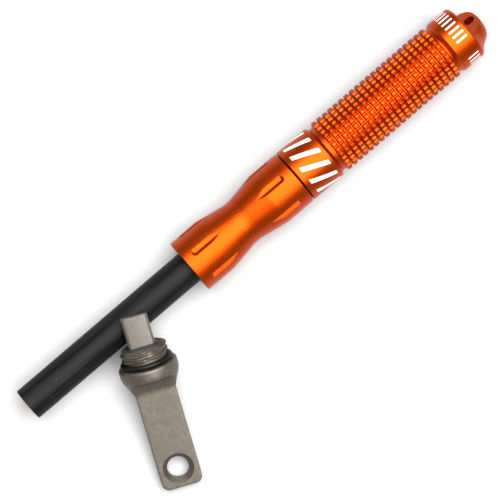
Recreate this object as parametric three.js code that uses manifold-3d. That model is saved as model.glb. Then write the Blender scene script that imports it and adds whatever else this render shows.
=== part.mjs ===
// A ferrocerium fire starter, lying ready for use: a ferrocerium rod in an hourglass
// holder, a knurled hollow handle screwed to the holder, and a separate carbide striker
// that leans on the rod. Millimetres, +X along the handle towards its cap, +Z up.
// Until the last lines, x = 0 is the joint face of the handle's collar.

import * as THREE from 'three';
import { ConvexGeometry } from 'three/addons/geometries/ConvexGeometry.js';
import { mergeVertices } from 'three/addons/utils/BufferGeometryUtils.js';
import Module from 'manifold-3d';

const wasm = await Module();
wasm.setup();

// ---- driving dimensions -------------------------------------------------------------

const BODY_R = 6.85; // holder ends, collar, knurl crests, cap and striker flange
const ROUND_STEPS = 36; // facets round every turned piece
const CURVE_STEPS = 3; // facets in each curved stretch of an outline
const FIT_GAP = 0.1; // gap between pieces that are pressed, glued or brazed together
const OVERRUN = 1; // how far cutters and joined solids run past a face

// the thread shared by the handle, both ends of the holder and the striker
const THREAD_PITCH = 1.27;
const THREAD_CREST_R = 5.5;
const THREAD_ROOT_R = 4.95;
const THREAD_CREST_WIDTH = 0.16;
const THREAD_START = 0.3; // from the end of the neck to its first turn
const THREAD_STEPS = 18; // facets in one turn
const THREAD_CLEARANCE = 0.15;
const SOCKET_BORE_R = 5.15; // crest of the female thread
const SOCKET_DEPTH = 8;
const COUNTERBORE_R = 6.3; // room for the O-ring at the mouth of a socket
const COUNTERBORE_DEPTH = 1.4;

const O_RING_TUBE_R = 0.55;
const O_RING_R = 5.58; // to the middle of the rubber

const EDGE = 0.25; // chamfer on turned edges

const HOLDER_LENGTH = 31.55;
const JOINT_GAP = 0.35; // seam between holder and collar, where the O-ring shows
const WAIST_R = 5.58;
const WAIST_REACH = 1.5; // how far the curve at the waist runs each way
const TAPER_START = 7.7; // from each end of the holder to where its waist starts
const FLUTE_COUNT = 6;
const FLUTE_TURN = 13.3; // degrees from +Z towards +Y
const FLUTE_FLOOR_R = 6.34; // handle axis to the bottom line of a V-shaped flute
const FLUTE_LEAN = 2; // degrees that the V leans towards +Y
const FLUTE_SLOPE = 26.5; // degrees from the V's mouth to each of its sides
const FLUTE_END_SLOPE = 34; // and to its round end
const FLUTE_START = 3; // from each end of the holder to where the bottom line starts
const FLUTE_LENGTH = 10;
const FLUTE_MOUTH = 1.5; // height of the cutter above the bottom line
const FLUTE_BENDS = 6; // facets in the round end

const ROD_R = 3.97; // 5/16 inch rod
const ROD_EDGE = 0.3;
const ROD_EXPOSED = 48.5;
const ROD_IN_SLEEVE = 11;
const SLEEVE_R = 4.75;
const SLEEVE_SLOT = [1.6, 1.2]; // width and depth of the screwdriver slot

const NECK_LENGTH = 7.2;
const BORE_R = 4.3;
const BORE_END = 48.9;
const COLLAR_LENGTH = 8.5;
const COLLAR_CHAMFER = 0.75;
const GRIP_START = 10.2;
const GRIP_LENGTH = 33.95;
const GRIP_ROOT_R = 6.28;
const GRIP_NECK_R = 6.05;
const RIB_COUNT = 28;
const RIB_CREST = 0.7; // width of a rib at its crest
const RIB_BASE = 1.3; // and at its root
const CAP_START = 44.6;
const CAP_CHAMFER = 1;
const CAP_SHOULDER = 51.05;
const DOME = [[52.5, 5.33, 0.5], [54.5, 4.02, 0.5], [55.35, 2.9, 0.9]]; // x, radius and reach
const HANDLE_END = 55.6;

const LUG_TURN = 54; // degrees from +Z towards +Y: where the lanyard flat faces
const LUG_FLAT = 1.63; // handle axis to the deep lanyard flat
const LUG_BACK = 3.5; // handle axis to the spot face on the far side
const LUG_START = 51.6;
const LUG_CORNER_R = 0.6;
const LUG_HOLE_R = 1.37;
const LUG_HOLE_X = 53.4;

// the striker's own frame: x from its tail to its tip, z up from its broad faces
const STRIKER_LENGTH = 42.3;
const PLATE_WIDTH = 9.55;
const PLATE_THICKNESS = 3;
const PLATE_CORNER_R = 1.8;
const MILLED_END = 23.4; // where the flat turns up into the flange
const MILL_R = 4.3;
const FLARE = [[24.4, 5], [26, 5.9]]; // x and radius on the way from the plate to the flange
const FLANGE_START = 28.3;
const FLANGE_FACE = 30.6;
const FLANGE_EDGE = 0.6;
const BOSS_END = 34.8;
const BOSS_EDGE = 0.4;
const EYE_X = 4.7;
const EYE_R = 2.55;
const EYE_RIM_R = 3.62;
const BIT_WIDTH = 6.2;
const BIT_THICKNESS = 3;
const BIT_EDGE_R = 0.8;
const BIT_SLANT = 7.5; // degrees that its end face leans back below
const BIT_SEATED = 3.5; // length brazed into the boss
const STRIKER_TILT = 15.7; // degrees, rising towards the rod
const STRIKER_HEADING = 65.85; // degrees from +X towards +Y
const STRIKER_TAIL = [-65.44, -37.2]; // where the middle of its tail is

// ---- materials ----------------------------------------------------------------------

function finish(color, roughness, metalness) {
  return new THREE.MeshStandardMaterial({ color, roughness, metalness });
}

const orangeAnodised = finish(0xd8620c, 0.42, 0.75);
const ferrocerium = finish(0x2c2c2e, 0.6, 0.5);
const brass = finish(0xb2914e, 0.35, 1);
const rubber = finish(0x151515, 0.75, 0);
const blastedSteel = finish(0x8c857a, 0.5, 0.9);
const carbide = finish(0x9b9a95, 0.45, 0.9);

// ---- from three.js geometry to solids and back --------------------------------------

function solidOf(geometry) {
  const bare = geometry.clone();
  bare.deleteAttribute('normal');
  bare.deleteAttribute('uv');
  const merged = mergeVertices(bare, 1e-4);
  const corners = merged.index.array;
  const kept = [];
  for (let i = 0; i < corners.length; i += 3) {
    const [a, b, c] = corners.subarray(i, i + 3);
    if (a !== b && b !== c && c !== a) kept.push(a, b, c);
  }
  return new wasm.Manifold(new wasm.Mesh({
    numProp: 3,
    vertProperties: new Float32Array(merged.attributes.position.array),
    triVerts: new Uint32Array(kept),
  }));
}

function meshOf(name, solid, material) {
  const { vertProperties, triVerts } = solid.getMesh();
  const geometry = new THREE.BufferGeometry();
  geometry.setAttribute('position', new THREE.BufferAttribute(vertProperties, 3));
  geometry.setIndex(new THREE.BufferAttribute(triVerts, 1));
  geometry.computeVertexNormals();
  const mesh = new THREE.Mesh(geometry, material);
  mesh.name = name;
  return mesh;
}

// ---- shapes -------------------------------------------------------------------------

// An outline holds points (x along the axis, radius) and is turned about the X axis.
function turned(outline) {
  const profile = outline.getPoints(CURVE_STEPS).map((point) => new THREE.Vector2(point.y, point.x));
  const geometry = new THREE.LatheGeometry(profile, ROUND_STEPS);
  geometry.rotateZ(-Math.PI / 2);
  return solidOf(geometry);
}

// Each corner is [x, radius, reach], where reach is how far its curve runs each way.
function outlineFrom(corners) {
  const points = corners.map(([x, radius]) => new THREE.Vector2(x, radius));
  const outline = new THREE.Path();
  outline.moveTo(points[0].x, points[0].y);
  for (let i = 1; i < corners.length; i += 1) {
    const corner = points[i];
    const reach = corners[i][2] ?? 0;
    if (reach === 0) {
      outline.lineTo(corner.x, corner.y);
    } else {
      const before = points[i - 1].clone().sub(corner).setLength(reach).add(corner);
      const after = points[i + 1].clone().sub(corner).setLength(reach).add(corner);
      outline.lineTo(before.x, before.y);
      outline.quadraticCurveTo(corner.x, corner.y, after.x, after.y);
    }
  }
  return outline;
}

function cylinderAlongX(radius, start, end) {
  return turned(outlineFrom([[start, 0], [start, radius], [end, radius], [end, 0]]));
}

function drillAlongZ(radius, length, steps) {
  const geometry = new THREE.CylinderGeometry(radius, radius, length, steps);
  geometry.rotateX(Math.PI / 2);
  return solidOf(geometry);
}

function box(width, depth, height, x, y, z) {
  const geometry = new THREE.BoxGeometry(width, depth, height);
  geometry.translate(x, y, z);
  return solidOf(geometry);
}

// A solid whose section lies in the XY plane, from z = low to z = high.
function extruded(shape, low, high) {
  const geometry = new THREE.ExtrudeGeometry(shape, {
    depth: high - low,
    bevelEnabled: false,
    curveSegments: 2 * CURVE_STEPS,
  });
  geometry.translate(0, 0, low);
  return solidOf(geometry);
}

// A right-hand helix about X that keeps its section square to the axis.
class Helix extends THREE.Curve {
  constructor(start, radius, turns) {
    super();
    Object.assign(this, { start, radius, turns });
  }

  angleAt(t) {
    return 2 * Math.PI * (this.start / THREAD_PITCH + t * this.turns);
  }

  getPoint(t, target = new THREE.Vector3()) {
    const angle = this.angleAt(t);
    const x = this.start + t * this.turns * THREAD_PITCH;
    return target.set(x, this.radius * Math.cos(angle), this.radius * Math.sin(angle));
  }

  computeFrenetFrames(steps) {
    const frames = { tangents: [], normals: [], binormals: [] };
    for (let i = 0; i <= steps; i += 1) {
      const angle = this.angleAt(i / steps);
      frames.normals.push(new THREE.Vector3(0, Math.cos(angle), Math.sin(angle)));
      frames.binormals.push(new THREE.Vector3(-1, 0, 0));
      frames.tangents.push(new THREE.Vector3(0, -Math.sin(angle), Math.cos(angle)));
    }
    return frames;
  }
}

// One thread ridge from x = start to x = end, grown on every side by the clearance.
function threadRidge(start, end, clearance) {
  const buried = 0.25;
  const crestHalf = THREAD_CREST_WIDTH / 2 + clearance;
  const height = THREAD_CREST_R - THREAD_ROOT_R + clearance;
  const flank = Math.tan(Math.PI / 6);
  const rootHalf = crestHalf + height * flank;
  const section = new THREE.Shape();
  section.moveTo(-buried, -rootHalf);
  section.lineTo(0, -rootHalf);
  section.lineTo(height, -crestHalf);
  section.lineTo(height, crestHalf);
  section.lineTo(0, rootHalf);
  section.lineTo(-buried, rootHalf);
  const turns = (end - start - 2 * rootHalf) / THREAD_PITCH;
  const geometry = new THREE.ExtrudeGeometry(section, {
    steps: Math.round(turns * THREAD_STEPS),
    extrudePath: new Helix(start + rootHalf, THREAD_ROOT_R, turns),
    bevelEnabled: false,
  });
  return solidOf(geometry);
}

// ---- rod holder ---------------------------------------------------------------------

const holderEnd = -JOINT_GAP;
const holderStart = holderEnd - HOLDER_LENGTH;
const holderMiddle = (holderStart + holderEnd) / 2;

function holderOutline() {
  const web = SLEEVE_R + FIT_GAP;
  return outlineFrom([
    [holderStart + SOCKET_DEPTH, web],
    [holderStart + SOCKET_DEPTH, SOCKET_BORE_R],
    [holderStart + COUNTERBORE_DEPTH, SOCKET_BORE_R],
    [holderStart + COUNTERBORE_DEPTH, COUNTERBORE_R],
    [holderStart, COUNTERBORE_R],
    [holderStart, BODY_R - EDGE],
    [holderStart + EDGE, BODY_R],
    [holderStart + TAPER_START, BODY_R],
    [holderMiddle, WAIST_R, WAIST_REACH],
    [holderEnd - TAPER_START, BODY_R],
    [holderEnd - EDGE, BODY_R],
    [holderEnd, BODY_R - EDGE],
    [holderEnd, COUNTERBORE_R],
    [holderEnd - COUNTERBORE_DEPTH, COUNTERBORE_R],
    [holderEnd - COUNTERBORE_DEPTH, SOCKET_BORE_R],
    [holderEnd - SOCKET_DEPTH, SOCKET_BORE_R],
    [holderEnd - SOCKET_DEPTH, web],
    [holderStart + SOCKET_DEPTH, web],
  ]);
}

// A V-shaped cutter. Its bottom line runs from near the rod's end, where the V is round,
// towards the middle of the holder, where the falling waist leaves it.
function fluteCutter() {
  const near = holderStart + FLUTE_START;
  const width = FLUTE_MOUTH / Math.tan(THREE.MathUtils.degToRad(FLUTE_SLOPE));
  const reach = FLUTE_MOUTH / Math.tan(THREE.MathUtils.degToRad(FLUTE_END_SLOPE));
  const far = near + FLUTE_LENGTH;
  const points = [
    new THREE.Vector3(near, 0, 0),
    new THREE.Vector3(far, 0, 0),
    new THREE.Vector3(far, width, FLUTE_MOUTH),
    new THREE.Vector3(far, -width, FLUTE_MOUTH),
  ];
  for (let i = 0; i <= FLUTE_BENDS; i += 1) {
    const angle = Math.PI * (i / FLUTE_BENDS - 0.5);
    points.push(new THREE.Vector3(near - reach * Math.cos(angle), width * Math.sin(angle), FLUTE_MOUTH));
  }
  return solidOf(new ConvexGeometry(points)).rotate([-FLUTE_LEAN, 0, 0]).translate([0, 0, FLUTE_FLOOR_R]);
}

function rodHolder() {
  let solid = turned(holderOutline());
  const nearFlute = fluteCutter();
  const farFlute = nearFlute.mirror([1, 0, 0]).translate([2 * holderMiddle, 0, 0]);
  for (let i = 0; i < FLUTE_COUNT; i += 1) {
    const turn = [-FLUTE_TURN - (i * 360) / FLUTE_COUNT, 0, 0];
    solid = solid.subtract(nearFlute.rotate(turn)).subtract(farFlute.rotate(turn));
  }
  const threadLength = SOCKET_DEPTH - COUNTERBORE_DEPTH + THREAD_PITCH;
  const rodSide = holderStart + COUNTERBORE_DEPTH - THREAD_PITCH;
  const handleSide = holderEnd - SOCKET_DEPTH;
  solid = solid.subtract(threadRidge(rodSide, rodSide + threadLength, THREAD_CLEARANCE));
  return solid.subtract(threadRidge(handleSide, handleSide + threadLength, THREAD_CLEARANCE));
}

// ---- rod and its sleeve -------------------------------------------------------------

const rodTip = holderStart - ROD_EXPOSED;
const sleeveStart = holderStart + SOCKET_DEPTH;
const sleeveEnd = holderEnd - SOCKET_DEPTH;

function ferroRod() {
  const seat = sleeveStart + ROD_IN_SLEEVE;
  return turned(outlineFrom([
    [rodTip, 0],
    [rodTip, ROD_R - ROD_EDGE],
    [rodTip + ROD_EDGE, ROD_R],
    [seat, ROD_R],
    [seat, 0],
  ]));
}

// A slotted cup that holds the rod and screws into the web between the sockets.
function rodSleeve() {
  const bore = ROD_R + FIT_GAP;
  const floor = sleeveStart + ROD_IN_SLEEVE + FIT_GAP;
  const cup = turned(outlineFrom([
    [floor, 0],
    [floor, bore],
    [sleeveStart, bore],
    [sleeveStart, SLEEVE_R],
    [sleeveEnd, SLEEVE_R],
    [sleeveEnd, 0],
  ]));
  const [width, depth] = SLEEVE_SLOT;
  return cup.subtract(box(2 * depth, 3 * SLEEVE_R, width, sleeveEnd, 0, 0));
}

// ---- handle -------------------------------------------------------------------------

function handleOutline() {
  const gripEnd = GRIP_START + GRIP_LENGTH;
  return outlineFrom([
    [BORE_END, 0],
    [BORE_END, BORE_R],
    [-NECK_LENGTH, BORE_R],
    [-NECK_LENGTH, THREAD_ROOT_R - EDGE],
    [EDGE - NECK_LENGTH, THREAD_ROOT_R],
    [0, THREAD_ROOT_R],
    [0, BODY_R - EDGE],
    [EDGE, BODY_R],
    [COLLAR_LENGTH, BODY_R],
    [COLLAR_LENGTH + COLLAR_CHAMFER, GRIP_NECK_R],
    [GRIP_START, GRIP_NECK_R],
    [GRIP_START, GRIP_ROOT_R],
    [gripEnd, GRIP_ROOT_R],
    [gripEnd, GRIP_NECK_R],
    [CAP_START, GRIP_NECK_R],
    [CAP_START + CAP_CHAMFER, BODY_R],
    [CAP_SHOULDER, BODY_R, EDGE],
    ...DOME,
    [HANDLE_END, 0],
  ]);
}

// Lengthwise ribs on the grip, as the teeth of one extruded section.
function gripRibs() {
  const base = RIB_BASE / 2 / GRIP_ROOT_R;
  const crest = RIB_CREST / 2 / BODY_R;
  const tooth = [[GRIP_ROOT_R, -base], [BODY_R, -crest], [BODY_R, crest], [GRIP_ROOT_R, base]];
  const points = [];
  for (let i = 0; i < RIB_COUNT; i += 1) {
    const middle = (2 * Math.PI * i) / RIB_COUNT;
    for (const [radius, offset] of tooth) {
      const angle = middle + offset;
      points.push(new THREE.Vector2(radius * Math.cos(angle), radius * Math.sin(angle)));
    }
  }
  const end = GRIP_START + GRIP_LENGTH;
  const ribs = extruded(new THREE.Shape(points), GRIP_START, end).rotate([0, 90, 0]);
  const core = cylinderAlongX((BORE_R + GRIP_ROOT_R) / 2, GRIP_START - OVERRUN, end + OVERRUN);
  return ribs.subtract(core);
}

// The milling cut that leaves a flat face on the cap at the given height above the axis.
function lugCutter(height) {
  const reach = 2 * BODY_R;
  const cut = new THREE.Shape();
  cut.moveTo(LUG_START + LUG_CORNER_R, height);
  cut.lineTo(LUG_START + reach, height);
  cut.lineTo(LUG_START + reach, reach);
  cut.lineTo(LUG_START, reach);
  cut.lineTo(LUG_START, height + LUG_CORNER_R);
  cut.quadraticCurveTo(LUG_START, height, LUG_START + LUG_CORNER_R, height);
  return extruded(cut, -reach, reach).rotate([90, 0, 0]);
}

function handle() {
  let solid = turned(handleOutline()).add(gripRibs());
  solid = solid.add(threadRidge(THREAD_START - NECK_LENGTH, -COUNTERBORE_DEPTH, 0));
  const hole = drillAlongZ(LUG_HOLE_R, 4 * BODY_R, 20).translate([LUG_HOLE_X, 0, 0]);
  const back = lugCutter(LUG_BACK).rotate([180, 0, 0]);
  const cuts = lugCutter(LUG_FLAT).add(back).add(hole).rotate([-LUG_TURN, 0, 0]);
  return solid.subtract(cuts);
}

function oRing(x) {
  const geometry = new THREE.TorusGeometry(O_RING_R, O_RING_TUBE_R, 10, ROUND_STEPS);
  geometry.rotateY(Math.PI / 2);
  geometry.translate(x, 0, 0);
  return solidOf(geometry);
}

// ---- striker ------------------------------------------------------------------------

function strikerTurning() {
  return turned(outlineFrom([
    [MILLED_END - OVERRUN, 0],
    [MILLED_END - OVERRUN, PLATE_WIDTH / 2],
    ...FLARE,
    [FLANGE_START, BODY_R, FLANGE_EDGE],
    [FLANGE_FACE, BODY_R, FLANGE_EDGE],
    [FLANGE_FACE, THREAD_ROOT_R],
    [BOSS_END - BOSS_EDGE, THREAD_ROOT_R],
    [BOSS_END, THREAD_ROOT_R - BOSS_EDGE],
    [BOSS_END, 0],
  ]));
}

function strikerPlate() {
  const half = PLATE_WIDTH / 2;
  const plate = new THREE.Shape();
  plate.moveTo(PLATE_CORNER_R, -half);
  plate.lineTo(MILLED_END + OVERRUN, -half);
  plate.lineTo(MILLED_END + OVERRUN, half);
  plate.lineTo(PLATE_CORNER_R, half);
  plate.quadraticCurveTo(0, half, 0, half - PLATE_CORNER_R);
  plate.lineTo(0, PLATE_CORNER_R - half);
  plate.quadraticCurveTo(0, -half, PLATE_CORNER_R, -half);
  return extruded(plate, -PLATE_THICKNESS / 2, PLATE_THICKNESS / 2);
}

// What the milling cutter takes off above the plate, with its concave end.
function millingCut() {
  const low = PLATE_THICKNESS / 2;
  const high = low + 2 * BODY_R;
  const cut = new THREE.Shape();
  cut.moveTo(-OVERRUN, low);
  cut.lineTo(MILLED_END, low);
  cut.absarc(MILLED_END, low + MILL_R, MILL_R, -Math.PI / 2, 0);
  cut.lineTo(MILLED_END + MILL_R, high);
  cut.lineTo(-OVERRUN, high);
  return extruded(cut, -PLATE_WIDTH, PLATE_WIDTH).rotate([90, 0, 0]);
}

// A lanyard eye right through the plate, countersunk on both faces.
function eyeCutter() {
  const sink = EYE_RIM_R - EYE_R;
  const top = PLATE_THICKNESS / 2;
  const cone = new THREE.CylinderGeometry(EYE_RIM_R + sink, EYE_R, 2 * sink, 28);
  cone.rotateX(Math.PI / 2);
  const upper = solidOf(cone).translate([0, 0, top]);
  const through = drillAlongZ(EYE_R, 4 * top, 28);
  return through.add(upper).add(upper.mirror([0, 0, 1])).translate([EYE_X, 0, 0]);
}

function roundedBar(width, thickness, radius, start, end) {
  const x = width / 2;
  const y = thickness / 2;
  const bar = new THREE.Shape();
  bar.moveTo(-x + radius, -y);
  bar.lineTo(x - radius, -y);
  bar.quadraticCurveTo(x, -y, x, -y + radius);
  bar.lineTo(x, y - radius);
  bar.quadraticCurveTo(x, y, x - radius, y);
  bar.lineTo(-x + radius, y);
  bar.quadraticCurveTo(-x, y, -x, y - radius);
  bar.lineTo(-x, -y + radius);
  bar.quadraticCurveTo(-x, -y, -x + radius, -y);
  return extruded(bar, start, end).rotate([0, 90, 0]).rotate([90, 0, 0]);
}

function strikerHandle() {
  const cut = millingCut();
  const grown = 2 * FIT_GAP;
  const socket = roundedBar(
    BIT_WIDTH + grown,
    BIT_THICKNESS + grown,
    BIT_EDGE_R,
    BOSS_END - BIT_SEATED - FIT_GAP,
    BOSS_END + OVERRUN,
  );
  return strikerTurning()
    .subtract(cut)
    .subtract(cut.mirror([0, 0, 1]))
    .add(strikerPlate())
    .add(threadRidge(FLANGE_FACE + COUNTERBORE_DEPTH, BOSS_END, 0))
    .subtract(eyeCutter())
    .subtract(socket);
}

// The end face keeps its upper edge and leans back below it.
function carbideBit() {
  const bar = roundedBar(BIT_WIDTH, BIT_THICKNESS, BIT_EDGE_R, BOSS_END - BIT_SEATED, STRIKER_LENGTH);
  const side = 4 * BIT_THICKNESS;
  const beyond = box(side, side, 2 * side, side / 2, 0, 0)
    .rotate([0, BIT_SLANT, 0])
    .translate([STRIKER_LENGTH, 0, BIT_THICKNESS / 2]);
  return bar.subtract(beyond);
}

// ---- assembly -----------------------------------------------------------------------

function strikerGroup() {
  const striker = new THREE.Group();
  striker.add(meshOf('striker_handle', strikerHandle(), blastedSteel));
  striker.add(meshOf('striker_o_ring', oRing(FLANGE_FACE + O_RING_TUBE_R + FIT_GAP), rubber));
  striker.add(meshOf('carbide_bit', carbideBit(), carbide));
  const turns = [0, -STRIKER_TILT, STRIKER_HEADING].map(THREE.MathUtils.degToRad);
  striker.rotation.set(...turns, 'ZYX');
  striker.position.set(...STRIKER_TAIL, 0);
  const lowest = new THREE.Box3().setFromObject(striker, true).min.z;
  striker.position.z = -lowest;
  return striker;
}

function handleGroup() {
  const body = new THREE.Group();
  body.add(meshOf('rod_holder', rodHolder(), orangeAnodised));
  body.add(meshOf('rod_sleeve', rodSleeve(), brass));
  body.add(meshOf('ferro_rod', ferroRod(), ferrocerium));
  body.add(meshOf('housing', handle(), orangeAnodised));
  body.add(meshOf('housing_o_ring', oRing(-O_RING_TUBE_R - FIT_GAP), rubber));
  body.position.z = BODY_R;
  return body;
}

const fireStarter = new THREE.Group();
fireStarter.add(handleGroup(), strikerGroup());

// the origin goes to the middle of the footprint, on the surface that it lies on
fireStarter.updateMatrixWorld(true);
const bounds = new THREE.Box3().setFromObject(fireStarter, true);
const centre = bounds.getCenter(new THREE.Vector3());
fireStarter.position.set(-centre.x, -centre.y, -bounds.min.z);

export default fireStarter;
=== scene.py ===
"""The looks of a ferrocerium fire starter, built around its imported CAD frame.

Lengths in this script are millimetres until a mesh is made, which is in metres.
A turned piece is a grid of rows along its axis and columns round it. Its own axis is X,
and angles are measured from +Z towards +Y.
"""

import math

import bpy
import numpy as np
from mathutils import Euler, Matrix, Vector


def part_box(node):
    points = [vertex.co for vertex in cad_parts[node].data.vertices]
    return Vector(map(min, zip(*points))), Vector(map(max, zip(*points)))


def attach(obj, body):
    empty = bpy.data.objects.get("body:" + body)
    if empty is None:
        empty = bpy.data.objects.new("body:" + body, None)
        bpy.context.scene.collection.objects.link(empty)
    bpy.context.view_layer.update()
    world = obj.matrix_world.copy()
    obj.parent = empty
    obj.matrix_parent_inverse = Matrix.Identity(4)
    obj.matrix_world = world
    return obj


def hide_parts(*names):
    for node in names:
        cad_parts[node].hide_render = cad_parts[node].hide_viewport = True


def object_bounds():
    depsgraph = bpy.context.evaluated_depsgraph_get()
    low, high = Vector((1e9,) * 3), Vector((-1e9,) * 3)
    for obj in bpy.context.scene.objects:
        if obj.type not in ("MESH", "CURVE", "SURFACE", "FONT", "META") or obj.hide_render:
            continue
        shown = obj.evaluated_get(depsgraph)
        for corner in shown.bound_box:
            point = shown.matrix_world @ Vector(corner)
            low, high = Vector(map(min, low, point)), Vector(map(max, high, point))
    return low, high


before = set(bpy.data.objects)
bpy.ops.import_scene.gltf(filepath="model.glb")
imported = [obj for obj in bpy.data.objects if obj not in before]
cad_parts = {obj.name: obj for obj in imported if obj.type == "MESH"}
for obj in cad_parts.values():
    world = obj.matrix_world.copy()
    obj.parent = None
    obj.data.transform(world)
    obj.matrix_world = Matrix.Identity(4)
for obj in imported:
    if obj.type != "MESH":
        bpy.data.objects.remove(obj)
cad_low, cad_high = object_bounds()

MM = 0.001

# ---- driving dimensions, in millimetres ---------------------------------------------

BODY_R = 6.85
ROD_R = 3.97

THREAD_PITCH = 1.27
THREAD_CREST_R = 5.5
THREAD_ROOT_R = 4.95
THREAD_CREST_HALF = 0.1
SOCKET_BORE_R = 5.15
SOCKET_CREST_R = 5.62
SOCKET_DEPTH = 8.0
COUNTERBORE_R = 6.3
COUNTERBORE_DEPTH = 1.4
THREAD_ROW = 0.11

HOLDER_LENGTH = 31.55
JOINT_GAP = 0.35
WAIST_CORNER_R = 5.48  # where the tapers would meet without the curve between them
WAIST_REACH = 1.5  # how far that curve runs each way
TAPER_START = 7.7
FLUTE_COUNT = 6
FLUTE_FLOOR_R = 6.34
FLUTE_TURN = 13.3
FLUTE_LEAN = 2.0
FLUTE_SLOPE = 26.5
FLUTE_END_SLOPE = 34.0
FLUTE_START = 3.0
FLUTE_LENGTH = 10.0
FLUTE_MOUTH = 1.5

SLEEVE_R = 4.75
SLOT_WIDTH = 1.6
SLOT_DEPTH = 1.2
ROD_EXPOSED = 48.5
ROD_IN_SLEEVE = 11.0

NECK_LENGTH = 7.2
BORE_R = 4.3
BORE_END = 48.9
COLLAR_LENGTH = 8.5
COLLAR_CHAMFER = 0.75
GRIP_START = 10.145
GRIP_NECK_R = 6.05
STUD_RINGS = 21
STUDS_ROUND = 28
STUD_PITCH = 1.6236
RING_DEPTH = 0.68
RING_SHAPE = (0.11, 0.18)
ROW_DEPTH = 0.44
ROW_SHAPE = (0.1, 0.235)
STUD_TURN = 4.1
CAP_START = 44.6
CAP_CHAMFER = 1.0
CAP_SHOULDER = 51.05
DOME = ((52.5, 5.33, 0.5), (54.5, 4.02, 0.5), (55.35, 2.9, 0.9))
HANDLE_END = 55.6

LUG_TURN = 54.0
LUG_FLAT = 1.63
LUG_BACK = 3.5
LUG_START = 51.6
LUG_CORNER_R = 0.6
LUG_HOLE_R = 1.37
LUG_HOLE_X = 53.4

# white etched bars round the handle: span along it, pitch, width and slant
COLLAR_BARS = ((1.4, 7.7), 3.587, 1.15, 0.45)
CAP_BARS = ((47.2, 50.1), 1.345, 0.45, 0.0)
CAP_BARS_GAP = (-5.6, -1.2)  # stretch round the cap that has none
BAR_START = 0.3  # from the start of a pitch to its bar
BAR_MIN_R = 6.4  # nothing is etched deeper than this

STRIKER_LENGTH = 42.3
PLATE_HALF = 4.775
PLATE_THICK_HALF = 1.5
PLATE_CORNER_R = 1.8
PLATE_EDGE_R = 0.3
MILLED_END = 23.4
MILL_R = 4.3
FLANGE_START = 28.3
FLANGE_FACE = 30.6
BOSS_END = 34.8
EYE_X = 4.7
EYE_R = 2.55
EYE_RIM_R = 3.62
BIT_HALF = 3.1
BIT_THICK_HALF = 1.5
BIT_EDGE_R = 0.8
BIT_SLANT = 7.5
BIT_SEATED = 3.5
STRIKER_TURN = Euler([math.radians(a) for a in (0.0, -15.7, 65.85)], "XYZ")

O_RING_R = 5.58
O_RING_TUBE_R = 0.55
FIT_GAP = 0.1
HANDLE_RING_X = -O_RING_TUBE_R - FIT_GAP
STRIKER_RING_X = FLANGE_FACE + O_RING_TUBE_R + FIT_GAP

# ---- places, read from the frame ----------------------------------------------------


def centre(node):
    low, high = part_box(node)
    return (low + high) / 2


handle_origin = centre("housing")
handle_origin.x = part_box("housing")[1].x - HANDLE_END * MM
handle_place = Matrix.Translation(handle_origin)

ring_middle = Vector((STRIKER_RING_X * MM, 0, 0))
striker_turn = STRIKER_TURN.to_matrix().to_4x4()
striker_origin = centre("striker_o_ring") - striker_turn @ ring_middle
striker_place = Matrix.Translation(striker_origin) @ striker_turn

# ---- meshes -------------------------------------------------------------------------


def new_object(name, vertices, faces, place):
    mesh = bpy.data.meshes.new(name)
    mesh.from_pydata((np.asarray(vertices, float) * MM).tolist(), [], faces)
    mesh.transform(place)
    mesh.update()
    piece = bpy.data.objects.new(name, mesh)
    bpy.context.scene.collection.objects.link(piece)
    return piece


def smooth(piece, sharp_angle=32):
    piece.data.shade_smooth()
    piece.data.set_sharp_from_angle(angle=math.radians(sharp_angle))


def grid_faces(rows, columns, closed):
    faces = []
    for i in range(rows if closed else rows - 1):
        upper = (i + 1) % rows
        for j in range(columns):
            k = (j + 1) % columns
            faces.append((i * columns + j, upper * columns + j, upper * columns + k, i * columns + k))
    return faces


def grid_object(name, points, place, closed=False):
    """points is rows x columns x 3. An open grid is shut by a fan at each end."""
    rows, columns = points.shape[:2]
    vertices = points.reshape(-1, 3)
    faces = grid_faces(rows, columns, closed)
    if not closed:
        first, last = rows * columns, rows * columns + 1
        vertices = np.vstack([vertices, points[0].mean(0), points[-1].mean(0)])
        top = (rows - 1) * columns
        for j in range(columns):
            k = (j + 1) % columns
            faces.append((j, k, first))
            faces.append((top + k, top + j, last))
    return new_object(name, vertices, faces, place)


def turned_points(xs, radii, angles):
    radii = np.broadcast_to(radii, (len(xs), len(angles)))
    xs = np.broadcast_to(np.asarray(xs)[:, None], radii.shape)
    return np.stack([xs, radii * np.sin(angles), radii * np.cos(angles)], axis=2)


def even_angles(count):
    return np.linspace(0, 2 * math.pi, count, endpoint=False)


def blended(corners, steps=4):
    """An outline of (x, radius, reach) corners. Reach is how far a corner's curve runs each way."""
    points = []
    for i, (x, r, reach) in enumerate(corners):
        corner = np.array([x, r])
        if reach == 0:
            points.append(corner)
            continue
        before = np.array(corners[i - 1][:2]) - corner
        after = np.array(corners[(i + 1) % len(corners)][:2]) - corner
        start = corner + before / np.linalg.norm(before) * reach
        end = corner + after / np.linalg.norm(after) * reach
        for t in np.linspace(0, 1, steps + 1):
            points.append((1 - t) ** 2 * start + 2 * t * (1 - t) * corner + t * t * end)
    return np.array(points)


def filled(outline, step):
    """The same outline with no gap between its points longer than step."""
    points = [outline[0]]
    for a, b in zip(outline[:-1], outline[1:]):
        pieces = max(1, math.ceil(np.linalg.norm(b - a) / step))
        for k in range(1, pieces + 1):
            points.append(a + (b - a) * k / pieces)
    return np.array(points)


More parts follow.
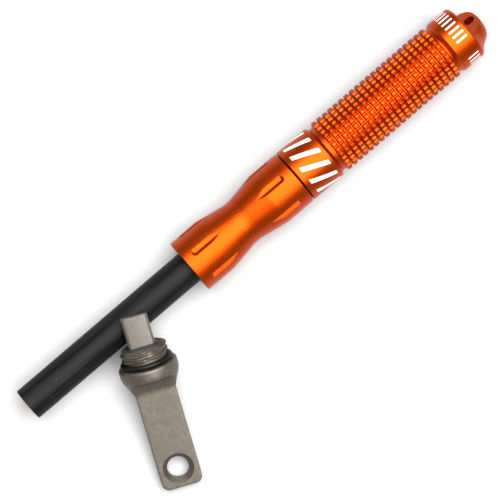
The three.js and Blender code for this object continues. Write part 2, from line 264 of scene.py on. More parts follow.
def thread_radii(xs, angles, root, crest, start, end):
    """A right-hand ridge round X, which runs out over half a turn at both ends."""
    turns = (np.asarray(xs)[:, None] / THREAD_PITCH) + (angles[None, :] - math.pi / 2) / (2 * math.pi)
    off_crest = np.abs(turns - np.floor(turns) - 0.5) * THREAD_PITCH
    flank = abs(crest - root) * math.tan(math.pi / 6)
    height = np.clip((THREAD_CREST_HALF + flank - off_crest) / flank, 0, 1)
    run_out = np.clip(np.minimum(np.asarray(xs) - start, end - np.asarray(xs)) / 0.35, 0, 1)
    return root + (crest - root) * height * run_out[:, None]


def extruded_object(name, outline, low, high, place):
    """A prism with its outline in the XY plane, counter-clockwise, from z = low to z = high."""
    count = len(outline)
    vertices = [(x, y, z) for z in (low, high) for x, y in outline]
    faces = [tuple(reversed(range(count))), tuple(range(count, 2 * count))]
    for j in range(count):
        k = (j + 1) % count
        faces.append((j, k, count + k, count + j))
    return new_object(name, vertices, faces, place)


def carve(piece, *cutters):
    for cutter in cutters:
        cut = piece.modifiers.new("cut", "BOOLEAN")
        cut.operation = "DIFFERENCE"
        cut.solver = "MANIFOLD"
        cut.object = cutter
        graph = bpy.context.evaluated_depsgraph_get()
        carved = bpy.data.meshes.new_from_object(piece.evaluated_get(graph))
        piece.modifiers.clear()
        carved.materials.clear()
        old = piece.data
        piece.data = carved
        bpy.data.meshes.remove(old)
        bpy.data.objects.remove(cutter)


def turn_about_x(degrees):
    return Matrix.Rotation(math.radians(degrees), 4, "X")


# ---- node materials -----------------------------------------------------------------


class Shader:
    """A Principled material with short helpers for the nodes that feed it."""

    def __init__(self, name, metallic, roughness):
        self.material = bpy.data.materials.new(name)
        self.material.use_nodes = True
        self.nodes = self.material.node_tree.nodes
        self.links = self.material.node_tree.links
        self.bsdf = self.nodes["Principled BSDF"]
        self.bsdf.inputs["Metallic"].default_value = metallic
        self.bsdf.inputs["Roughness"].default_value = roughness
        self.place = self.nodes.new("ShaderNodeTexCoord").outputs["Object"]

    def feed(self, socket, value):
        if isinstance(value, bpy.types.NodeSocket):
            self.links.new(value, socket)
        else:
            socket.default_value = value

    def math(self, operation, a, b=0.0, clamp=False):
        node = self.nodes.new("ShaderNodeMath")
        node.operation = operation
        node.use_clamp = clamp
        self.feed(node.inputs[0], a)
        self.feed(node.inputs[1], b)
        return node.outputs[0]

    def moved(self, offset, turn=(0, 0, 0), stretch=(1, 1, 1)):
        """The place of a point measured from offset, then turned back and stretched."""
        shift = self.nodes.new("ShaderNodeVectorMath")
        shift.operation = "SUBTRACT"
        self.feed(shift.inputs[0], self.place)
        shift.inputs[1].default_value = offset
        rotate = self.nodes.new("ShaderNodeVectorRotate")
        rotate.rotation_type = "EULER_XYZ"
        rotate.invert = True
        self.feed(rotate.inputs["Vector"], shift.outputs[0])
        rotate.inputs["Rotation"].default_value = turn
        scale = self.nodes.new("ShaderNodeVectorMath")
        scale.operation = "MULTIPLY"
        self.feed(scale.inputs[0], rotate.outputs[0])
        scale.inputs[1].default_value = stretch
        return scale.outputs[0]

    def noise(self, size_mm, detail=3.0, vector=None):
        node = self.nodes.new("ShaderNodeTexNoise")
        node.inputs["Scale"].default_value = 1 / (size_mm * MM)
        node.inputs["Detail"].default_value = detail
        self.feed(node.inputs["Vector"], vector or self.place)
        return node.outputs["Fac"]

    def spread(self, value, low, high, to_low, to_high):
        node = self.nodes.new("ShaderNodeMapRange")
        self.feed(node.inputs["Value"], value)
        node.inputs["From Min"].default_value = low
        node.inputs["From Max"].default_value = high
        node.inputs["To Min"].default_value = to_low
        node.inputs["To Max"].default_value = to_high
        return node.outputs[0]

    def mix(self, factor, a, b):
        node = self.nodes.new("ShaderNodeMix")
        node.data_type = "RGBA"
        self.feed(node.inputs[0], factor)
        self.feed(node.inputs[6], a)
        self.feed(node.inputs[7], b)
        return node.outputs[2]

    def bump(self, height, strength, distance_mm, below=None):
        node = self.nodes.new("ShaderNodeBump")
        node.inputs["Strength"].default_value = strength
        node.inputs["Distance"].default_value = distance_mm * MM
        self.feed(node.inputs["Height"], height)
        if below is not None:
            self.feed(node.inputs["Normal"], below)
        return node.outputs["Normal"]

    def separate(self, vector):
        node = self.nodes.new("ShaderNodeSeparateXYZ")
        self.feed(node.inputs[0], vector)
        return node.outputs

    def finish(self, color, roughness=None, normal=None, metallic=None):
        self.feed(self.bsdf.inputs["Base Color"], color)
        for socket, value in (("Roughness", roughness), ("Normal", normal), ("Metallic", metallic)):
            if value is not None:
                self.feed(self.bsdf.inputs[socket], value)
        return self.material


def between(shader, value, low, high, soft=0.04):
    """1 where value is between low and high, with soft edges."""
    rises = shader.spread(value, low - soft, low + soft, 0, 1)
    falls = shader.spread(value, high - soft, high + soft, 1, 0)
    return shader.math("MULTIPLY", rises, falls)


def etched_bars(shader, along, around, span, pitch, width, slant):
    """Slanted white bars, one every pitch round the handle, over a span along it."""
    slid = shader.math("ADD", around, shader.math("MULTIPLY", along, slant))
    share = shader.math("FRACT", shader.math("DIVIDE", slid, pitch))
    bar = between(shader, shader.math("MULTIPLY", share, pitch), BAR_START, BAR_START + width)
    return shader.math("MULTIPLY", bar, between(shader, along, *span))


def orange_anodised(etched):
    shader = Shader("orange_anodised_etched" if etched else "orange_anodised", 1.0, 0.36)
    blast = shader.noise(0.11, 4.0)
    cloud = shader.noise(3.5, 3.0)
    base = shader.mix(
        shader.spread(cloud, 0.3, 0.7, 0, 1),
        (0.40, 0.043, 0.0024, 1),
        (0.43, 0.048, 0.0024, 1),
    )
    color = shader.mix(shader.spread(blast, 0.3, 0.7, 0, 0.5), base, (0.37, 0.038, 0.0024, 1))
    roughness = shader.spread(blast, 0.3, 0.7, 0.33, 0.43)
    lines = shader.noise(0.16, 2.0, shader.moved(handle_origin, stretch=(1, 0.02, 0.02)))
    normal = shader.bump(lines, 0.06, 0.02)
    normal = shader.bump(blast, 0.16, 0.02, normal)
    if not etched:
        return shader.finish(color, roughness, normal)
    x, y, z = shader.separate(shader.moved(handle_origin, stretch=(1 / MM,) * 3))
    around = shader.math("MULTIPLY", shader.math("ARCTAN2", y, z), BODY_R)
    large = etched_bars(shader, x, around, *COLLAR_BARS)
    small = etched_bars(shader, x, around, *CAP_BARS)
    gap = between(shader, around, *CAP_BARS_GAP)
    small = shader.math("MULTIPLY", small, shader.math("SUBTRACT", 1.0, gap))
    marks = shader.math("MAXIMUM", large, small)
    marks = shader.math("MULTIPLY", marks, shader.spread(shader.noise(0.2), 0.25, 0.5, 0.8, 1.0))
    outside = shader.math("ADD", shader.math("MULTIPLY", y, y), shader.math("MULTIPLY", z, z))
    marks = shader.math("MULTIPLY", marks, shader.math("GREATER_THAN", outside, BAR_MIN_R**2))
    color = shader.mix(marks, color, (0.86, 0.82, 0.78, 1))
    roughness = shader.spread(marks, 0, 1, 0.38, 0.7)
    metallic = shader.math("SUBTRACT", 1.0, marks)
    return shader.finish(color, roughness, normal, metallic)


def rod_coating():
    shader = Shader("ferrocerium_coating", 0.0, 0.45)
    shader.bsdf.inputs["Specular IOR Level"].default_value = 0.13
    stretched = shader.moved(handle_origin, stretch=(0.012, 1, 1))
    lines = shader.noise(0.22, 4.0, stretched)
    broad = shader.noise(1.1, 2.0, stretched)
    grain = shader.noise(0.09, 2.0)
    speck = shader.spread(shader.noise(0.35, 1.0), 0.80, 0.84, 0, 0.7)
    color = shader.mix(
        shader.spread(lines, 0.5, 0.68, 0, 1),
        (0.0012, 0.0012, 0.0013, 1),
        (0.013, 0.013, 0.0134, 1),
    )
    color = shader.mix(shader.spread(broad, 0.45, 0.75, 0, 0.45), color, (0.006, 0.006, 0.006, 1))
    color = shader.mix(speck, color, (0.30, 0.30, 0.30, 1))
    roughness = shader.spread(lines, 0.3, 0.7, 0.42, 0.6)
    normal = shader.bump(lines, 0.5, 0.04)
    normal = shader.bump(grain, 0.12, 0.02, normal)
    return shader.finish(color, roughness, normal)


def bare_ferrocerium():
    shader = Shader("ferrocerium_bare", 1.0, 0.38)
    grain = shader.noise(0.12, 3.0)
    color = shader.mix(
        shader.spread(grain, 0.3, 0.7, 0, 1),
        (0.42, 0.30, 0.13, 1),
        (0.72, 0.55, 0.27, 1),
    )
    return shader.finish(color, None, shader.bump(grain, 0.3, 0.03))


def blasted_steel():
    shader = Shader("blasted_steel", 0.85, 0.48)
    blast = shader.noise(0.13, 4.0)
    mottle = shader.noise(1.1, 5.0)
    cloud = shader.noise(6.0, 2.0)
    color = shader.mix(
        shader.spread(mottle, 0.32, 0.68, 0, 1),
        (0.087, 0.073, 0.058, 1),
        (0.136, 0.118, 0.095, 1),
    )
    color = shader.mix(shader.spread(cloud, 0.35, 0.65, 0, 0.4), color, (0.092, 0.079, 0.062, 1))
    color = shader.mix(shader.spread(blast, 0.35, 0.75, 0, 0.55), color, (0.177, 0.157, 0.128, 1))
    roughness = shader.spread(mottle, 0.3, 0.7, 0.42, 0.55)
    return shader.finish(color, roughness, shader.bump(blast, 0.3, 0.03))


def carbide_grey():
    shader = Shader("carbide", 0.8, 0.42)
    grain = shader.noise(0.22, 5.0)
    cloud = shader.noise(1.6, 2.0)
    color = shader.mix(
        shader.spread(grain, 0.35, 0.68, 0, 1),
        (0.103, 0.092, 0.079, 1),
        (0.198, 0.178, 0.153, 1),
    )
    color = shader.mix(shader.spread(cloud, 0.4, 0.7, 0, 0.4), color, (0.124, 0.113, 0.096, 1))
    roughness = shader.spread(grain, 0.3, 0.7, 0.36, 0.5)
    return shader.finish(color, roughness, shader.bump(grain, 0.25, 0.03))


def brazing():
    shader = Shader("brazing", 0.9, 0.5)
    grain = shader.noise(0.3, 3.0)
    color = shader.mix(
        shader.spread(grain, 0.35, 0.65, 0, 1),
        (0.047, 0.050, 0.051, 1),
        (0.087, 0.090, 0.090, 1),
    )
    return shader.finish(color, None, shader.bump(grain, 0.3, 0.05))


def o_ring_rubber():
    shader = Shader("o_ring_rubber", 0.0, 0.45)
    shader.bsdf.inputs["Specular IOR Level"].default_value = 0.2
    grain = shader.noise(0.15, 3.0)
    color = shader.mix(
        shader.spread(grain, 0.35, 0.65, 0, 1),
        (0.001675, 0.001675, 0.00201, 1),
        (0.00402, 0.00402, 0.004556, 1),
    )
    roughness = shader.spread(grain, 0.3, 0.7, 0.38, 0.52)
    return shader.finish(color, roughness, shader.bump(grain, 0.1, 0.02))


def turned_brass():
    shader = Shader("turned_brass", 1.0, 0.3)
    rings = shader.noise(0.12, 2.0, shader.moved(handle_origin, stretch=(1, 0.02, 0.02)))
    tarnish = shader.noise(2.0, 3.0)
    color = shader.mix(
        shader.spread(tarnish, 0.35, 0.7, 0, 1),
        (0.62, 0.43, 0.16, 1),
        (0.44, 0.29, 0.11, 1),
    )
    roughness = shader.spread(tarnish, 0.3, 0.7, 0.24, 0.4)
    return shader.finish(color, roughness, shader.bump(rings, 0.2, 0.03))


# ---- rod holder ---------------------------------------------------------------------

holder_end = -JOINT_GAP
holder_start = holder_end - HOLDER_LENGTH
holder_middle = (holder_start + holder_end) / 2


def holder_outer():
    edge = 0.22
    corners = [
        (holder_start, COUNTERBORE_R, 0.08),
        (holder_start, BODY_R, edge),
        (holder_start + TAPER_START, BODY_R, 0.4),
        (holder_middle, WAIST_CORNER_R, WAIST_REACH),
        (holder_end - TAPER_START, BODY_R, 0.4),
        (holder_end, BODY_R, edge),
        (holder_end, COUNTERBORE_R, 0.08),
    ]
    full = [(holder_start, SOCKET_BORE_R, 0)] + corners + [(holder_end, SOCKET_BORE_R, 0)]
    return filled(blended(full, 6)[1:-1], 0.9)


def socket_rows(mouth, inward, angles):
    """The wall of a threaded socket from its mouth inwards: x values and radii."""
    bottom = mouth + inward * SOCKET_DEPTH
    step = mouth + inward * COUNTERBORE_DEPTH
    plain = np.array([
        (mouth + inward * 0.3, COUNTERBORE_R),
        (step - inward * 0.1, COUNTERBORE_R),
        (step, COUNTERBORE_R - 0.1),
        (step, SOCKET_CREST_R + 0.1),
        (step + inward * 0.12, SOCKET_BORE_R + 0.35),
    ])
    xs = np.arange(step + inward * 0.45, bottom, inward * THREAD_ROW)
    low, high = min(step, bottom), max(step, bottom)
    radii = thread_radii(xs, angles, SOCKET_BORE_R, SOCKET_CREST_R, low - 0.2, high)
    plain_radii = np.repeat(plain[:, 1:], len(angles), axis=1)
    floor_radii = np.repeat([[SOCKET_BORE_R], [SLEEVE_R + FIT_GAP]], len(angles), axis=1)
    return (
        np.concatenate([plain[:, 0], xs, [bottom, bottom]]),
        np.vstack([plain_radii, radii, floor_radii]),
    )


def flute_cutter(turn, near, far):
    """A V-shaped cutter whose bottom line runs from its round end, near, to its square end, far."""
    height = FLUTE_MOUTH
    width = height / math.tan(math.radians(FLUTE_SLOPE))
    reach = height / math.tan(math.radians(FLUTE_END_SLOPE))
    away = math.copysign(1, near - far)
    bends = np.linspace(-math.pi / 2, math.pi / 2, 13)
    rim = [(near + away * reach * math.cos(a), width * math.sin(a), height) for a in bends]
    rim += [(far, width, height), (far, -width, height)]
    last = len(rim)
    tip, end = last, last + 1
    faces = [tuple(range(last))]
    faces += [(j + 1, j, tip) for j in range(last - 3)]
    faces += [(last - 2, last - 3, tip, end), (last - 1, last - 2, end), (0, last - 1, end, tip)]
    if away < 0:
        faces = [tuple(reversed(face)) for face in faces]
    lean = Matrix.Translation((0, 0, FLUTE_FLOOR_R * MM)) @ turn_about_x(-FLUTE_LEAN)
    place = handle_place @ turn_about_x(-turn) @ lean
    return new_object("flute", rim + [(near, 0, 0), (far, 0, 0)], faces, place)


def rod_holder(material):
    angles = even_angles(192)
    outer = holder_outer()
    right_xs, right_radii = socket_rows(holder_end, -1, angles)
    left_xs, left_radii = socket_rows(holder_start, 1, angles)
    xs = np.concatenate([outer[:, 0], right_xs, left_xs[::-1]])
    radii = np.vstack([np.repeat(outer[:, 1:], len(angles), axis=1), right_radii, left_radii[::-1]])
    piece = grid_object("holder_body", turned_points(xs, radii, angles), handle_place, closed=True)
    for i in range(FLUTE_COUNT):
        turn = FLUTE_TURN + i * 360 / FLUTE_COUNT
        left = flute_cutter(turn, holder_start + FLUTE_START, holder_start + FLUTE_START + FLUTE_LENGTH)
        right = flute_cutter(turn, holder_end - FLUTE_START, holder_end - FLUTE_START - FLUTE_LENGTH)
        carve(piece, left, right)
    smooth(piece, 6)
    piece.data.materials.append(material)
    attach(piece, "rod_holder")
    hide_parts("rod_holder")


# ---- rod and sleeve -----------------------------------------------------------------


def ferro_rod(coating, bare):
    tip = holder_start - ROD_EXPOSED
    seat = holder_start + SOCKET_DEPTH + ROD_IN_SLEEVE
    edge = 0.16
    outline = np.array([(tip, 0.02), (tip, ROD_R / 2), (tip, ROD_R - edge), (tip + edge, ROD_R)])
    body = filled(np.array([(tip + edge, ROD_R), (seat, ROD_R), (seat, 0.02)]), 3.0)[1:]
    rows = np.vstack([outline, body])
    angles = even_angles(128)
    points = turned_points(rows[:, 0], rows[:, 1:], angles)
    piece = grid_object("rod", points, handle_place)
    piece.data.materials.append(coating)
    piece.data.materials.append(bare)
    bare_end = handle_origin.x + (tip + edge * 0.8) * MM
    for face in piece.data.polygons:
        if face.center.x < bare_end:
            face.material_index = 1
    smooth(piece)
    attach(piece, "rod_holder")
    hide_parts("ferro_rod")


def rod_sleeve(material):
    start = holder_start + SOCKET_DEPTH
    end = holder_end - SOCKET_DEPTH
    floor = start + ROD_IN_SLEEVE + FIT_GAP
    bore = ROD_R + FIT_GAP
    rows = blended([
        (floor, 0.02, 0),
        (floor, bore, 0),
        (start, bore, 0.1),
        (start, SLEEVE_R, 0.2),
        (end, SLEEVE_R, 0.2),
        (end, 0.02, 0),
    ])
    angles = even_angles(96)
    piece = grid_object("brass_sleeve", turned_points(rows[:, 0], rows[:, 1:], angles), handle_place)
    bottom, half = end - SLOT_DEPTH, SLOT_WIDTH / 2
    slot = [(bottom, -half), (end + 1, -half), (end + 1, half), (bottom, half)]
    carve(piece, extruded_object("slot", slot, -BODY_R, BODY_R, handle_place))
    smooth(piece)
    piece.data.materials.append(material)
    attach(piece, "rod_holder")
    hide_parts("rod_sleeve")


# ---- handle -------------------------------------------------------------------------


def ridges(count, valley, flank):
    """Where the samples of a row of ridges lie, in pitches, and how high they stand.

    Valley is the width of the flat floor between two ridges, and flank that of a ridge's side.
    """
    foot, brow = valley / 2, valley / 2 + flank
    half = [(0, 0), (foot, 0), (brow - 0.15 * flank, 0.85), (brow, 0.97), (brow + 0.03, 1)]
    ridge = half + [(1 - share, height) for share, height in half[:0:-1]]
    places = [i + share for i in range(count) for share, _ in ridge]
    heights = [height for _ in range(count) for _, height in ridge]
    return np.array(places), np.array(heights)


def grip_rows(heights_round):
    places, heights = ridges(STUD_RINGS, *RING_SHAPE)
    xs = GRIP_START + places * STUD_PITCH
    rings = BODY_R - RING_DEPTH * (1 - heights)
    rows = BODY_R - ROW_DEPTH * (1 - heights_round)
    return xs, np.minimum(rings[:, None], rows[None, :])


def lug_radii(xs, radii, angles):
    """The cap's dome with a deep milled flat on one side and a spot face on the other."""
    for turn, depth in ((LUG_TURN, LUG_FLAT), (LUG_TURN + 180, LUG_BACK)):
        facing = np.cos(angles - math.radians(turn))
        into = np.clip(LUG_START + LUG_CORNER_R - xs, 0, LUG_CORNER_R)
        floor = depth + LUG_CORNER_R - np.sqrt(LUG_CORNER_R**2 - into**2)
        plane = floor[:, None] / np.maximum(facing, 1e-3)[None, :]
        cut = np.where((xs[:, None] >= LUG_START) & (facing[None, :] > 1e-3), plane, 1e3)
        radii = np.minimum(radii, cut)
    return radii


def cap_outline():
    corners = [
        (GRIP_START + STUD_RINGS * STUD_PITCH, GRIP_NECK_R, 0),
        (CAP_START, GRIP_NECK_R, 0.1),
        (CAP_START + CAP_CHAMFER, BODY_R, 0.1),
        (CAP_SHOULDER, BODY_R, 0.3),
        *DOME,
        (HANDLE_END, 0.02, 0),
    ]
    return filled(blended(corners, 8), 0.3)


def handle(material):
    places, heights_round = ridges(STUDS_ROUND, *ROW_SHAPE)
    angles = math.radians(STUD_TURN) + places * 2 * math.pi / STUDS_ROUND
    inside = blended([
        (BORE_END, 0.02, 0),
        (BORE_END, BORE_R, 0),
        (-NECK_LENGTH, BORE_R, 0.15),
        (-NECK_LENGTH, THREAD_ROOT_R, 0.2),
        (-NECK_LENGTH + 0.4, THREAD_ROOT_R, 0),
    ])
    first, last = -NECK_LENGTH + 0.3, -COUNTERBORE_DEPTH
    thread_xs = np.arange(-NECK_LENGTH + 0.45, last, THREAD_ROW)
    thread = thread_radii(thread_xs, angles, THREAD_ROOT_R, THREAD_CREST_R, first, last)
    collar = filled(blended([
        (-COUNTERBORE_DEPTH + 0.2, THREAD_ROOT_R, 0),
        (0, THREAD_ROOT_R, 0.1),
        (0, BODY_R, 0.16),
        (COLLAR_LENGTH, BODY_R, 0.1),
        (COLLAR_LENGTH + COLLAR_CHAMFER, GRIP_NECK_R, 0.15),
        (GRIP_START - 0.02, GRIP_NECK_R, 0),
    ], 6), 0.8)
    grip_xs, grip_radii = grip_rows(heights_round)
    cap = cap_outline()
    cap_radii = lug_radii(cap[:, 0], np.repeat(cap[:, 1:], len(angles), axis=1), angles)
    spread = np.ones((1, len(angles)))
    xs = np.concatenate([inside[:, 0], thread_xs, collar[:, 0], grip_xs, cap[:, 0]])
    radii = np.vstack([inside[:, 1:] * spread, thread, collar[:, 1:] * spread, grip_radii, cap_radii])
    piece = grid_object("handle_body", turned_points(xs, radii, angles), handle_place)
    hole = [(LUG_HOLE_X + LUG_HOLE_R * math.cos(a), LUG_HOLE_R * math.sin(a)) for a in even_angles(40)]
    hole_place = handle_place @ turn_about_x(-LUG_TURN)
    carve(piece, extruded_object("lug_hole", hole, -BODY_R, BODY_R, hole_place))
    smooth(piece, 42)
    piece.data.materials.append(material)
    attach(piece, "housing")
    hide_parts("housing")


# ---- O-rings ------------------------------------------------------------------------


def o_ring(name, x, place, body, node, material):
    """An O-ring that sits with its middle at x along the axis of its piece."""
    tube = even_angles(24)
    xs = x - O_RING_TUBE_R * np.sin(tube)
    radii = O_RING_R + O_RING_TUBE_R * np.cos(tube)
    points = turned_points(xs[::-1], radii[::-1][:, None], even_angles(128))
    piece = grid_object(name, points, place, closed=True)
    smooth(piece, 80)
    piece.data.materials.append(material)
    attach(piece, body)
    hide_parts(node)


# ---- striker ------------------------------------------------------------------------


def quarter_angles(corner, count):
    """Angles from 0 to 90 degrees, closer together at the corner angle."""
    ease = 0.5 - 0.5 * np.cos(np.linspace(0, math.pi, count + 1))
    first = corner * ease
    second = corner + (math.pi / 2 - corner) * ease
    return np.concatenate([first, second[1:]])


def section_angles(corner, count):
    quarter = quarter_angles(corner, count)
    half = np.concatenate([quarter, math.pi - quarter[::-1][1:]])
    return np.concatenate([half, math.pi + half[1:-1]])


def rounding(x, radius):
    """How much a corner of the given radius takes off at a distance x from the end."""
    return radius - math.sqrt(max(0, radius**2 - max(0, radius - x) ** 2))


def striker_outline():
    """Rows of x, turned radius, plate half width and milled half height."""
    far = 50.0  # beyond everything, where a row has no such limit
    turning = filled(blended([
        (MILLED_END - 3, PLATE_HALF, 0),
        (MILLED_END + 0.4, PLATE_HALF + 0.05, 1.2),
        (FLANGE_START - 0.3, BODY_R, 1.0),
        (FLANGE_FACE, BODY_R, 0.65),
        (FLANGE_FACE, THREAD_ROOT_R, 0.1),
        (FLANGE_FACE + COUNTERBORE_DEPTH, THREAD_ROOT_R, 0),
    ], 8), 0.22)
    plate_reach = math.hypot(PLATE_HALF, PLATE_THICK_HALF)
    rows = []
    tail = [0.0, 0.03, 0.1, 0.2, 0.32]
    for x in np.concatenate([tail, np.linspace(0.45, 2.0, 12), np.arange(2.5, MILLED_END - 3, 0.8)]):
        corner = rounding(x, PLATE_CORNER_R)
        edge = rounding(x, PLATE_EDGE_R)
        rows.append((x, far, PLATE_HALF - corner, PLATE_THICK_HALF - edge))
    for x, radius in turning:
        reach = min(max(0, x - MILLED_END), MILL_R)
        height = PLATE_THICK_HALF + MILL_R - math.sqrt(MILL_R**2 - reach**2)
        height = height if x < MILLED_END + MILL_R else far
        turned = x > MILLED_END + MILL_R or radius > plate_reach
        rows.append((x, radius, far, height) if turned else (x, far, PLATE_HALF, height))
    return rows


def section_row(x, reach, angles):
    return np.stack([np.full_like(angles, x), reach * np.cos(angles), reach * np.sin(angles)], axis=1)


def striker_points(columns):
    """Sections of the plate and the flange, whose corners are sharper the higher the sharpness."""
    sharpness = 22
    grid = []
    last = None
    for x, radius, width, height in striker_outline():
        half = min(height, radius * 0.88)
        across = min(width, math.sqrt(max(radius**2 - half**2, 0.01)))
        corner = min(max(math.atan2(half, across), 0.25), 1.05)
        angles = section_angles(corner, columns // 8)
        sine, cosine = np.abs(np.sin(angles)) + 1e-6, np.abs(np.cos(angles)) + 1e-6
        limits = (radius, height / sine, width / cosine)
        reach = sum(limit ** -sharpness for limit in limits) ** (-1 / sharpness)
        grid.append(section_row(x, reach, angles))
        last = angles
    return grid, last


def striker_thread(angles):
    """Rows of the threaded boss, at the section angles of the body's last row."""
    from_z = math.pi / 2 - angles
    start = FLANGE_FACE + COUNTERBORE_DEPTH
    xs = np.arange(start + 0.05, BOSS_END - 0.3, THREAD_ROW)
    radii = thread_radii(xs, from_z, THREAD_ROOT_R, THREAD_CREST_R, start, BOSS_END + 0.2)
    chamfer = THREAD_CREST_R - 0.1 + 1.2 * (BOSS_END - 0.35 - xs)
    radii = np.minimum(radii, chamfer[:, None])
    face = [(0.28, 5.0), (0.12, 4.82), (0, 4.62), (0, 3.0), (0, 0.6)]
    rows = [section_row(x, reach, angles) for x, reach in zip(xs, radii)]
    return rows + [section_row(BOSS_END - back, reach, angles) for back, reach in face]


def eye_cutter():
    """A stepped round cutter: a through hole with a countersink on each face."""
    sink = EYE_RIM_R - EYE_R
    top = PLATE_THICK_HALF
    upper = [
        (top - sink, EYE_R),
        (top, EYE_RIM_R),
        (top + 0.08, EYE_RIM_R + 0.08),
        (4, EYE_RIM_R + 0.5),
    ]
    profile = np.array([(-x, radius) for x, radius in reversed(upper)] + upper)
    points = turned_points(profile[:, 0], profile[:, 1:], even_angles(72))
    stand = Matrix.Translation((EYE_X * MM, 0, 0)) @ Matrix.Rotation(-math.pi / 2, 4, "Y")
    return grid_object("eye", points, striker_place @ stand)


def bar_section(width, thickness, radius, steps=7):
    """A rounded rectangle, counter-clockwise, in the YZ plane."""
    corners = [(width - radius, thickness - radius, 0), (radius - width, thickness - radius, 90),
               (radius - width, radius - thickness, 180), (width - radius, radius - thickness, 270)]
    points = []
    for y, z, start in corners:
        for a in np.radians(np.linspace(start, start + 90, steps)):
            points.append((y + radius * math.cos(a), z + radius * math.sin(a)))
    return np.array(points)


def bar_object(name, rows, width, thickness, radius, slant=0.0):
    """A bar along X. Each row is x and how far its section shrinks there.

    The rows in its last millimetre lean back below by the slant, in degrees.
    """
    grid = []
    leaning_from = rows[-1][0] - 1
    for x, shrink in rows:
        section = bar_section(width - shrink, thickness - shrink, max(radius - shrink, 0.05))
        lean = math.tan(math.radians(slant)) * (thickness - section[:, 1])
        grid.append(np.column_stack([x - lean * (x > leaning_from), section]))
    points = np.array(grid)[:, ::-1]
    return grid_object(name, points, striker_place)


def striker_body(material):
    rows, angles = striker_points(160)
    points = np.array(rows + striker_thread(angles))
    piece = grid_object("striker_body", points[:, ::-1], striker_place)
    socket_rows = [(BOSS_END - BIT_SEATED - FIT_GAP, 0), (BOSS_END + 1, 0)]
    socket = bar_object("socket", socket_rows, BIT_HALF + FIT_GAP, BIT_THICK_HALF + FIT_GAP, BIT_EDGE_R)
    carve(piece, eye_cutter(), socket)
    smooth(piece, 28)
    piece.data.materials.append(material)
    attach(piece, "striker")
    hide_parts("striker_handle")


def carbide_bit(material):
    start = BOSS_END - BIT_SEATED
    end = STRIKER_LENGTH
    rows = [(start, 0), (BOSS_END, 0), (end - 2, 0), (end - 0.1, 0), (end, 0.08)]
    piece = bar_object("bit", rows, BIT_HALF, BIT_THICK_HALF, BIT_EDGE_R, BIT_SLANT)
    smooth(piece)
    piece.data.materials.append(material)
    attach(piece, "striker")
    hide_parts("carbide_bit")


def braze_fillet(material):
    """The small concave fillet of braze where the bit leaves the boss.

    The profile holds distances past the boss's face and away from the bit.
    """
    profile = [
        (-0.6, 0.02),
        (0.55, 0.0),
        (0.42, 0.06),
        (0.25, 0.14),
        (0.12, 0.26),
        (0.03, 0.45),
        (-0.05, 0.5),
        (-0.6, 0.09),
    ]
    grid = []
    for x, grow in profile:
        section = bar_section(BIT_HALF + grow, BIT_THICK_HALF + grow, BIT_EDGE_R + grow)
        grid.append(np.column_stack([np.full(len(section), BOSS_END + x), section]))
    points = np.array(grid)
    piece = grid_object("braze", points, striker_place, closed=True)
    smooth(piece, 60)
    piece.data.materials.append(material)
    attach(piece, "striker")


# ---- studio -------------------------------------------------------------------------

VIEW_TURN = -40.53  # degrees: how the handle lies across the picture
VIEW_CENTRE = (-18.87, -6.07)  # millimetres from the handle's joint face and axis
VIEW_FOOT = (-38.21, -6.07)  # the point that the camera stands over
VIEW_WIDTH = 114.4  # millimetres across the picture at the height of the handle's axis
VIEW_HEIGHT = 620.0

# the softbox faces straight down; its middle and size are in metres, its turn in degrees
SOFTBOX_MIDDLE = (0.28, -0.03, 1.2)
SOFTBOX_SIZE = (1.12, 1.56)
SOFTBOX_TURN = 10
SOFTBOX_RADIANCE = 9.5
SKY_STRENGTH = 0.45
FLOOR_HALF = 3.0  # metres


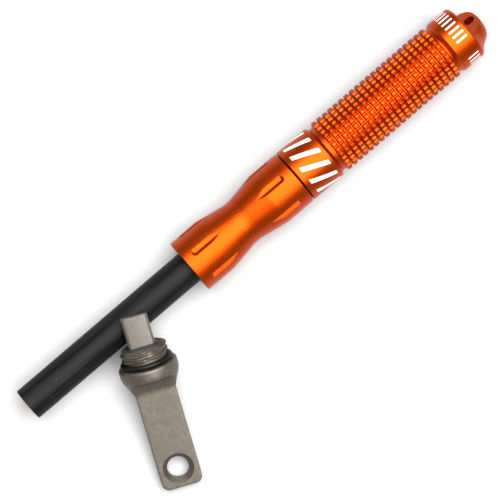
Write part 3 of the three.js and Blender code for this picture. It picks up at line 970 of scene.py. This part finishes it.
def camera():
    data = bpy.data.cameras.new("camera")
    eye = Vector((*VIEW_FOOT, VIEW_HEIGHT))
    aim = Vector((*VIEW_CENTRE, 0)) - eye
    data.sensor_width = 36.0
    data.lens = data.sensor_width * aim.length / VIEW_WIDTH
    data.clip_start = 0.01
    data.clip_end = 20
    turn = math.radians(VIEW_TURN)
    up = Vector((-math.sin(turn), math.cos(turn), 0))
    right = aim.cross(up).normalized()
    up = right.cross(aim).normalized()
    place = Matrix((right, up, -aim.normalized())).transposed().to_4x4()
    place.translation = handle_origin + eye * MM
    camera = bpy.data.objects.new("camera", data)
    camera.matrix_world = place
    bpy.context.scene.collection.objects.link(camera)
    bpy.context.scene.camera = camera


def softbox():
    data = bpy.data.lights.new("overhead", "AREA")
    data.shape = "RECTANGLE"
    data.size, data.size_y = SOFTBOX_SIZE
    data.energy = SOFTBOX_RADIANCE * math.pi * data.size * data.size_y
    lamp = bpy.data.objects.new("overhead", data)
    lamp.location = SOFTBOX_MIDDLE
    lamp.rotation_euler = (0, 0, math.radians(SOFTBOX_TURN))
    lamp.visible_camera = False
    bpy.context.scene.collection.objects.link(lamp)


def floor():
    corners = [(x * FLOOR_HALF, y * FLOOR_HALF, 0) for x, y in ((-1, -1), (1, -1), (1, 1), (-1, 1))]
    mesh = bpy.data.meshes.new("floor")
    mesh.from_pydata(corners, [], [(0, 1, 2, 3)])
    mesh.transform(Matrix.Translation((0, 0, cad_low.z)))
    shader = Shader("pale_floor", 0.0, 0.9)
    grain = shader.noise(40.0, 2.0)
    color = shader.mix(grain, (0.42, 0.42, 0.42, 1), (0.44, 0.44, 0.44, 1))
    mesh.materials.append(shader.finish(color))
    plane = bpy.data.objects.new("floor", mesh)
    bpy.context.scene.collection.objects.link(plane)


def studio():
    world = bpy.data.worlds.new("studio")
    world.use_nodes = True
    background = world.node_tree.nodes["Background"]
    background.inputs["Color"].default_value = (1.0, 1.0, 1.0, 1)
    background.inputs["Strength"].default_value = SKY_STRENGTH
    bpy.context.scene.world = world
    bpy.context.scene.view_settings.view_transform = "Standard"
    softbox()
    floor()


# ---- assembly -----------------------------------------------------------------------

camera()
studio()

plain_orange = orange_anodised(False)
etched_orange = orange_anodised(True)
rubber = o_ring_rubber()
rod_holder(plain_orange)
ferro_rod(rod_coating(), bare_ferrocerium())
rod_sleeve(turned_brass())
handle(etched_orange)
o_ring("handle_seal", HANDLE_RING_X, handle_place, "housing_o_ring", "housing_o_ring", rubber)
striker_body(blasted_steel())
o_ring("striker_seal", STRIKER_RING_X, striker_place, "striker", "striker_o_ring", rubber)
carbide_bit(carbide_grey())
braze_fillet(brazing())
